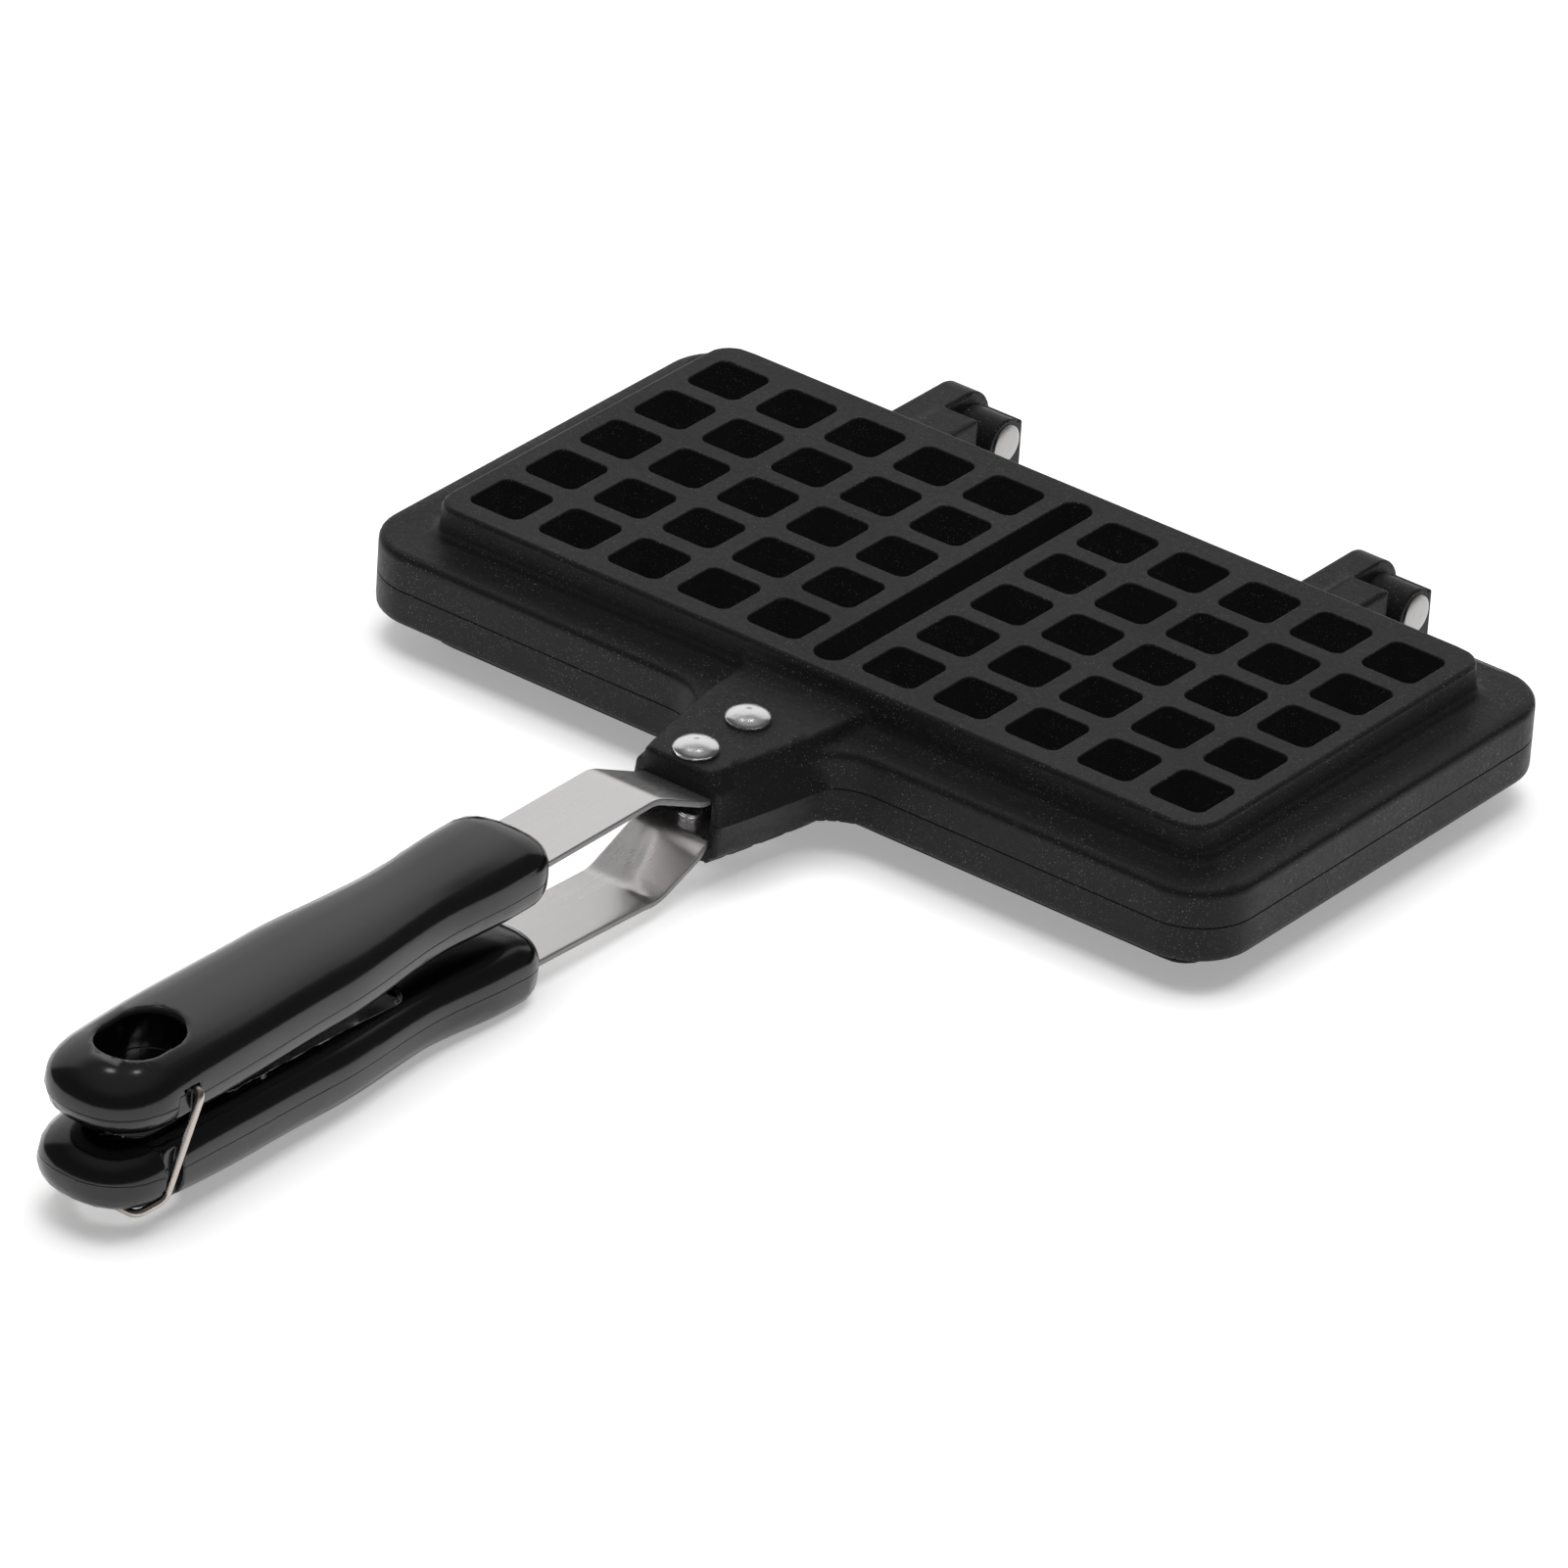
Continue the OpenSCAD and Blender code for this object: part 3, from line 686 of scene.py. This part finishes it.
UH, LH = "upper_half", "lower_half"
up, lw = [plate("u0", 17.2, 12.0, True)], [plate("l0", 17.2, 10.6, False)]
for i, (h0, h1, h2, h3) in enumerate(HINGES):
    up.append(sdf_object("u%d" % (i + 1), ear_f(h0, h1, h2), (h0 - 1.5, 59.5, -10), (h2 + 1.5, 95, 10), 0.33, 0.1))
    lw.append(sdf_object("l%d" % (i + 1), knuckle_f(h1, h3), (h1 - 1, 59.5, -10), (h3 + 1, 92.5, 7.5), 0.33, 0.1))
piece(joined("upper_plate_cast", up), UH, "upper_plate", "cast_plate")
piece(joined("lower_plate_cast", lw), LH, "lower_plate", "cast_plate")
piece(strap("upper_strap_pressed", True), UH, "upper_strap", "strap_steel")
piece(strap("lower_strap_pressed", False), LH, "lower_strap", "strap_steel")
piece(sdf_object("upper_grip_moulded", upper_grip_f, (-17, -300.5, 3), (17, -151, 23.5), 0.5, 0.2), UH, "upper_grip", "grip_plastic")
piece(sdf_object("lower_grip_moulded", lower_grip_f, (-17, -302, -20), (17, -152.5, 6), 0.5, 0.2), LH, "lower_grip", "grip_plastic")
piece(sdf_object("upper_screw_driven", screw_f(True), (-4.2, GRIP_Y - 80.5, UPPER_Z - 7.6), (4.2, GRIP_Y - 71.5, UPPER_Z + 6), 0.14, 0.2),
      UH, "upper_grip_screw", "fixings")
sy, sz = LOWER_BEND_Y - (LOWER_S + 76) * CR, -LOWER_Z + (LOWER_S + 76) * SR
piece(sdf_object("lower_screw_driven", screw_f(False), (-4.2, sy - 5, sz - 6.5), (4.2, sy + 5, sz + 8), 0.14, 0.2),
      LH, "lower_grip_screw", "fixings")
piece(rivet("upper_front_rivet_set", RIVETS[0], 12.0, 1), UH, "upper_front_rivet", "rivet_metal")
piece(rivet("upper_rear_rivet_set", RIVETS[1], 12.0, 1), UH, "upper_rear_rivet", "rivet_metal")
piece(rivet("lower_front_rivet_set", RIVETS[0], 10.6, -1), LH, "lower_front_rivet", "rivet_metal")
piece(rivet("lower_rear_rivet_set", RIVETS[1], 10.6, -1), LH, "lower_rear_rivet", "rivet_metal")
piece(pin("left_hinge_pin_headed", HINGES[0]), LH, "left_hinge_pin", "fixings")
piece(pin("right_hinge_pin_headed", HINGES[1]), LH, "right_hinge_pin", "fixings")
piece(bail(), "bail", "bail_wire", "bail_steel")


# ------------------------------------------------------------------ materials
class Mat:
    """A small helper for node trees."""

    def __init__(self, name):
        self.m = bpy.data.materials.new(name)
        self.m.use_nodes = True
        self.t = self.m.node_tree
        self.bsdf = self.t.nodes["Principled BSDF"]
        self.co = self.t.nodes.new("ShaderNodeTexCoord").outputs["Object"]

    def node(self, kind, **kw):
        n = self.t.nodes.new(kind)
        for k, v in kw.items():
            setattr(n, k, v)
        return n

    def link(self, a, b):
        self.t.links.new(a, b)

    def put(self, sock, v):
        if isinstance(v, bpy.types.NodeSocket):
            self.link(v, sock)
        else:
            sock.default_value = v

    def noise(self, scale, detail=2.0, rough=0.5, vec=None, dist=0.0):
        n = self.node("ShaderNodeTexNoise")
        n.inputs["Scale"].default_value = scale
        n.inputs["Detail"].default_value = detail
        n.inputs["Roughness"].default_value = rough
        n.inputs["Distortion"].default_value = dist
        self.link(vec if vec is not None else self.co, n.inputs["Vector"])
        return n.outputs["Fac"]

    def stretch(self, sx, sy, sz, rot=(0, 0, 0)):
        n = self.node("ShaderNodeMapping")
        n.inputs["Scale"].default_value = (sx, sy, sz)
        n.inputs["Rotation"].default_value = rot
        self.link(self.co, n.inputs["Vector"])
        return n.outputs["Vector"]

    def span(self, v, a, b, c, d):
        n = self.node("ShaderNodeMapRange")
        n.clamp = True
        for i, k in zip(("From Min", "From Max", "To Min", "To Max"), (a, b, c, d)):
            n.inputs[i].default_value = k
        self.link(v, n.inputs["Value"])
        return n.outputs["Result"]

    def math(self, op, a, b=0.0, c=0.0):
        n = self.node("ShaderNodeMath", operation=op)
        for i, v in enumerate((a, b, c)):
            self.put(n.inputs[i], v)
        return n.outputs[0]

    def mixc(self, f, a, b):
        n = self.node("ShaderNodeMix", data_type="RGBA")
        self.put(n.inputs[0], f)
        self.put(n.inputs[6], a)
        self.put(n.inputs[7], b)
        return n.outputs[2]

    def bump(self, height, dist, strength=1.0, normal=None):
        n = self.node("ShaderNodeBump")
        n.inputs["Strength"].default_value = strength
        n.inputs["Distance"].default_value = dist
        self.link(height, n.inputs["Height"])
        if normal is not None:
            self.link(normal, n.inputs["Normal"])
        return n.outputs["Normal"]

    def set(self, **kw):
        for k, v in kw.items():
            self.put(self.bsdf.inputs[k.replace("_", " ")], v)


def cast_material():
    m = Mat("cast_plate")
    tc = m.node("ShaderNodeTexCoord").outputs["Normal"]
    sep = m.node("ShaderNodeSeparateXYZ")
    m.link(tc, sep.inputs[0])
    side = m.math("SUBTRACT", 1.0, m.math("ABSOLUTE", sep.outputs["Z"]))
    # fleck of the non-stick coat, denser on the walls
    f1 = m.noise(2900, 0.0, 0.5)
    lim = m.math("SUBTRACT", 0.755, m.math("MULTIPLY", side, 0.03))
    fleck = m.span(m.math("SUBTRACT", f1, lim), 0.0, 0.02, 0.0, 1.0)
    patch = m.span(m.noise(90, 3.0), 0.4, 0.62, 0.25, 1.0)
    fleck = m.math("MULTIPLY", fleck, patch)
    broad = m.noise(24, 4.0, 0.55)
    base = m.mixc(broad, (0.0048, 0.0048, 0.0050, 1), (0.0078, 0.0078, 0.0080, 1))
    m.set(Base_Color=m.mixc(fleck, base, (0.105, 0.10, 0.098, 1)))
    rough = m.math("ADD", m.span(broad, 0.3, 0.7, 0.40, 0.50), m.span(m.noise(700, 2.0), 0.3, 0.7, -0.04, 0.05))
    m.set(Roughness=rough)
    m.set(**{"Specular_IOR_Level": 0.17})
    # painted light: a faint white glow over the whole plate, lifting its shade though it is no lamp
    m.set(Emission_Color=(1, 1, 1, 1), Emission_Strength=0.0022)
    b = m.bump(m.noise(1500, 3.0, 0.6), 0.00006, 0.5)
    b = m.bump(m.noise(260, 3.0, 0.5), 0.00010, 0.35, b)
    b = m.bump(m.noise(45, 2.0, 0.5), 0.00030, 0.3, b)
    m.link(b, m.bsdf.inputs["Normal"])
    return m.m


def steel_material():
    m = Mat("strap_steel")
    grain = m.noise(1.0, 3.0, 0.6, m.stretch(1500, 60, 900))
    cloud = m.noise(70, 4.0, 0.6)
    scr = m.node("ShaderNodeTexVoronoi", feature="DISTANCE_TO_EDGE")
    scr.inputs["Scale"].default_value = 1.0
    m.link(m.stretch(260, 190, 300, (0, 0, 0.6)), scr.inputs["Vector"])
    line = m.span(scr.outputs["Distance"], 0.0, 0.012, 1.0, 0.0)
    where = m.span(m.noise(240, 2.0), 0.60, 0.70, 0.0, 1.0)
    mark = m.math("MULTIPLY", line, where)
    pit = m.span(m.noise(1400, 2.0, 0.6), 0.735, 0.77, 0.0, 1.0)
    pit = m.math("MULTIPLY", pit, m.span(m.noise(60, 2.0), 0.5, 0.65, 0.0, 1.0))
    base = m.mixc(cloud, (0.62, 0.605, 0.60, 1), (0.74, 0.725, 0.72, 1))
    base = m.mixc(m.math("MULTIPLY", mark, 0.12), base, (0.25, 0.24, 0.24, 1))
    base = m.mixc(m.math("MULTIPLY", pit, 0.35), base, (0.18, 0.17, 0.16, 1))
    # the sheared edges are rougher and darker
    sep = m.node("ShaderNodeSeparateXYZ")
    m.link(m.node("ShaderNodeTexCoord").outputs["Normal"], sep.inputs[0])
    edge = m.span(m.math("ABSOLUTE", sep.outputs["X"]), 0.5, 0.85, 0.0, 1.0)
    base = m.mixc(edge, base, m.mixc(m.noise(1.0, 3.0, 0.6, m.stretch(900, 60, 2500)), (0.18, 0.175, 0.175, 1), (0.34, 0.33, 0.33, 1)))
    m.set(Base_Color=base, Metallic=0.95)
    r = m.math("ADD", m.span(cloud, 0.3, 0.7, 0.25, 0.33), m.span(grain, 0.3, 0.7, -0.02, 0.03))
    m.set(Roughness=m.math("ADD", r, m.math("MULTIPLY", edge, 0.22)))
    b = m.bump(grain, 0.00001, 0.3)
    b = m.bump(m.noise(60, 1.0), 0.00010, 0.08, b)
    m.link(b, m.bsdf.inputs["Normal"])
    return m.m


def plastic_material(name, ny, nz, d0):
    """Glossy black moulding; the parting plane is ny*y + nz*z = d0 in metres."""
    m = Mat(name)
    sep = m.node("ShaderNodeSeparateXYZ")
    m.link(m.co, sep.inputs[0])
    off = m.math("SUBTRACT", m.math("ADD", m.math("MULTIPLY", sep.outputs["Y"], ny),
                                    m.math("MULTIPLY", sep.outputs["Z"], nz)), d0)
    wob = m.math("MULTIPLY", m.math("SUBTRACT", m.noise(160, 3.0, 0.6), 0.5), 0.0003)
    gap = m.math("ABSOLUTE", m.math("ADD", off, wob))
    ridge = m.span(gap, 0.00004, 0.00022, 1.0, 0.0)
    tex = m.noise(900, 3.0, 0.55)
    broad = m.noise(30, 3.0, 0.5)
    scr = m.node("ShaderNodeTexVoronoi", feature="DISTANCE_TO_EDGE")
    scr.inputs["Scale"].default_value = 1.0
    m.link(m.stretch(420, 90, 300, (0.2, 0, 0.3)), scr.inputs["Vector"])
    line = m.math("MULTIPLY", m.span(scr.outputs["Distance"], 0.0, 0.010, 1.0, 0.0),
                  m.span(m.noise(150, 2.0), 0.58, 0.7, 0.0, 1.0))
    base = m.mixc(broad, (0.0030, 0.0030, 0.0033, 1), (0.0048, 0.0048, 0.0050, 1))
    m.set(Base_Color=m.mixc(m.math("MULTIPLY", line, 0.25), base, (0.05, 0.05, 0.05, 1)))
    r = m.math("ADD", m.span(broad, 0.3, 0.7, 0.13, 0.19), m.math("MULTIPLY", line, 0.08))
    m.set(Roughness=m.math("ADD", r, m.math("MULTIPLY", ridge, 0.2)))
    m.set(**{"Specular_IOR_Level": 0.5})
    b = m.bump(ridge, 0.00014, 0.9)
    b = m.bump(tex, 0.000012, 0.5, b)
    b = m.bump(broad, 0.00022, 0.35, b)
    m.link(b, m.bsdf.inputs["Normal"])
    return m.m


def metal_material(name, a, b, r0, r1, scale=300):
    m = Mat(name)
    cloud = m.noise(scale, 4.0, 0.6)
    fine = m.noise(2600, 2.0, 0.6)
    m.set(Base_Color=m.mixc(cloud, a, b), Metallic=1.0)
    m.set(Roughness=m.math("ADD", m.span(cloud, 0.3, 0.7, r0, r1), m.span(fine, 0.3, 0.7, -0.03, 0.04)))
    k = m.bump(fine, 0.00002, 0.35)
    k = m.bump(cloud, 0.00006, 0.35, k)
    m.link(k, m.bsdf.inputs["Normal"])
    return m.m


MATS = {
    "cast_plate": cast_material(),
    "strap_steel": steel_material(),
    "fixings": metal_material("fixings", (0.34, 0.335, 0.33, 1), (0.50, 0.49, 0.48, 1), 0.32, 0.46),
    "rivet_metal": metal_material("rivet_metal", (0.78, 0.77, 0.78, 1), (0.93, 0.92, 0.93, 1), 0.20, 0.32),
    "bail_steel": metal_material("bail_steel", (0.42, 0.38, 0.35, 1), (0.56, 0.51, 0.47, 1), 0.22, 0.34),
}
PART_N = -1.25
MATS["grip_upper"] = plastic_material("grip_plastic", 0.0, 1.0, (UPPER_Z + PART_N + OZ) * MM)
# lower grip: n = -((y - by) * SR + (z + lz) * CR) in the plate frame
MATS["grip_lower"] = plastic_material("grip_plastic_lower", SR, CR,
                                      ((LOWER_BEND_Y + OY) * SR + (OZ - LOWER_Z) * CR - PART_N) * MM)
for slot, objs in made.items():
    for o in objs:
        if slot == "grip_plastic":
            o.data.materials.append(MATS["grip_upper" if o.name.startswith("upper") else "grip_lower"])
        else:
            o.data.materials.append(MATS[slot])

# ------------------------------------------------------------------ stage
fl = bpy.data.meshes.new("floor")
R = 14.0
ring = [(R * math.cos(2 * math.pi * k / 96), R * math.sin(2 * math.pi * k / 96), 0) for k in range(96)]
fl.from_pydata(ring, [], [list(range(96))])
floor = bpy.data.objects.new("floor", fl)
bpy.context.scene.collection.objects.link(floor)
fm = bpy.data.materials.new("floor_white")
fm.use_nodes = True
fb = fm.node_tree.nodes["Principled BSDF"]
fb.inputs["Base Color"].default_value = (0.90, 0.90, 0.90, 1)
fb.inputs["Roughness"].default_value = 0.9
fb.inputs["Specular IOR Level"].default_value = 0.1
fb.inputs["Emission Color"].default_value = (1, 1, 1, 1)
fb.inputs["Emission Strength"].default_value = 0.34
fl.materials.append(fm)

world = bpy.data.worlds.new("studio")
bpy.context.scene.world = world
world.use_nodes = True
wt = world.node_tree
bg = wt.nodes["Background"]


def wn(kind, **kw):
    n = wt.nodes.new(kind)
    for k, v in kw.items():
        setattr(n, k, v)
    return n


def wm(op, a, b=0.0, c=0.0):
    n = wn("ShaderNodeMath", operation=op)
    for i, v in enumerate((a, b, c)):
        if isinstance(v, bpy.types.NodeSocket):
            wt.links.new(v, n.inputs[i])
        else:
            n.inputs[i].default_value = v
    return n.outputs[0]


def wspan(v, a, b, c, d, smooth_it=True):
    n = wn("ShaderNodeMapRange")
    n.interpolation_type = "SMOOTHSTEP" if smooth_it else "LINEAR"
    for i, k in zip(("From Min", "From Max", "To Min", "To Max"), (a, b, c, d)):
        n.inputs[i].default_value = k
    wt.links.new(v, n.inputs["Value"])
    return n.outputs["Result"]


# a large bright sheet at the back left, and a dim room round it
tcw = wn("ShaderNodeTexCoord").outputs["Generated"]
sepw = wn("ShaderNodeSeparateXYZ")
wt.links.new(tcw, sepw.inputs[0])
dotn = wn("ShaderNodeVectorMath", operation="DOT_PRODUCT")
wt.links.new(tcw, dotn.inputs[0])
dotn.inputs[1].default_value = (-0.608, 0.709, 0.355)
toward = dotn.outputs["Value"]
sheet = wm("MULTIPLY", wspan(toward, 0.62, 0.70, 0.0, 1.0), wspan(sepw.outputs["Z"], 0.70, 0.82, 1.0, 0.0))
sheet = wm("MULTIPLY", sheet, wspan(toward, 0.62, 0.98, 0.55, 0.80, False))
room = wspan(sepw.outputs["Z"], 0.6, 1.0, 0.085, 0.30)
wt.links.new(wm("ADD", sheet, room), bg.inputs["Color"])
bg.inputs["Strength"].default_value = 1.0


def area(name, loc, size, energy, target=(0, 0, 0.01), shape="RECTANGLE", size_y=None, glossy=True):
    d = bpy.data.lights.new(name, "AREA")
    d.shape = shape
    d.size = size
    if size_y:
        d.size_y = size_y
    d.energy = energy
    o = bpy.data.objects.new(name, d)
    o.location = loc
    o.rotation_euler = (Vector(target) - Vector(loc)).to_track_quat("-Z", "Y").to_euler()
    o.visible_glossy = glossy
    bpy.context.scene.collection.objects.link(o)
    return o


area("top_box", (0.0, 0.1, 1.9), 1.8, 35.0, size_y=1.8, glossy=False)
tip = Vector((0.006, -0.187, 0.037))
for i, way in enumerate(((-0.344, 0.162, 0.925), (-0.057, 0.334, 0.941))):
    area("lamp_%d" % (i + 1), tip + 2.0 * Vector(way), 0.15, 0.55, target=tip, shape="DISK")

cam_d = bpy.data.cameras.new("camera")
cam_d.sensor_width = 36
cam_d.lens = 308.63
cam_d.clip_end = 100
cam = bpy.data.objects.new("camera", cam_d)
RR = [[0.7878802726923314, 0.6130686385936774, 0.05823676051389157],
      [0.34388624583823746, -0.35954150699433574, -0.8674515287158848],
      [-0.5108687951182189, 0.7034747679349538, -0.49410153314204797]]
right, down, fwd = (Vector(r) for r in RR)
mat = Matrix((right, -down, -fwd)).transposed().to_4x4()
mat.translation = Vector((1.49794, -2.01803, 1.45577 + (OZ - 17.2) * MM))
cam.matrix_world = mat
bpy.context.scene.collection.objects.link(cam)
bpy.context.scene.camera = cam

vs = bpy.context.scene.view_settings
vs.view_transform = "Standard"
vs.look = "None"
vs.exposure = 0.0
vs.gamma = 1.0
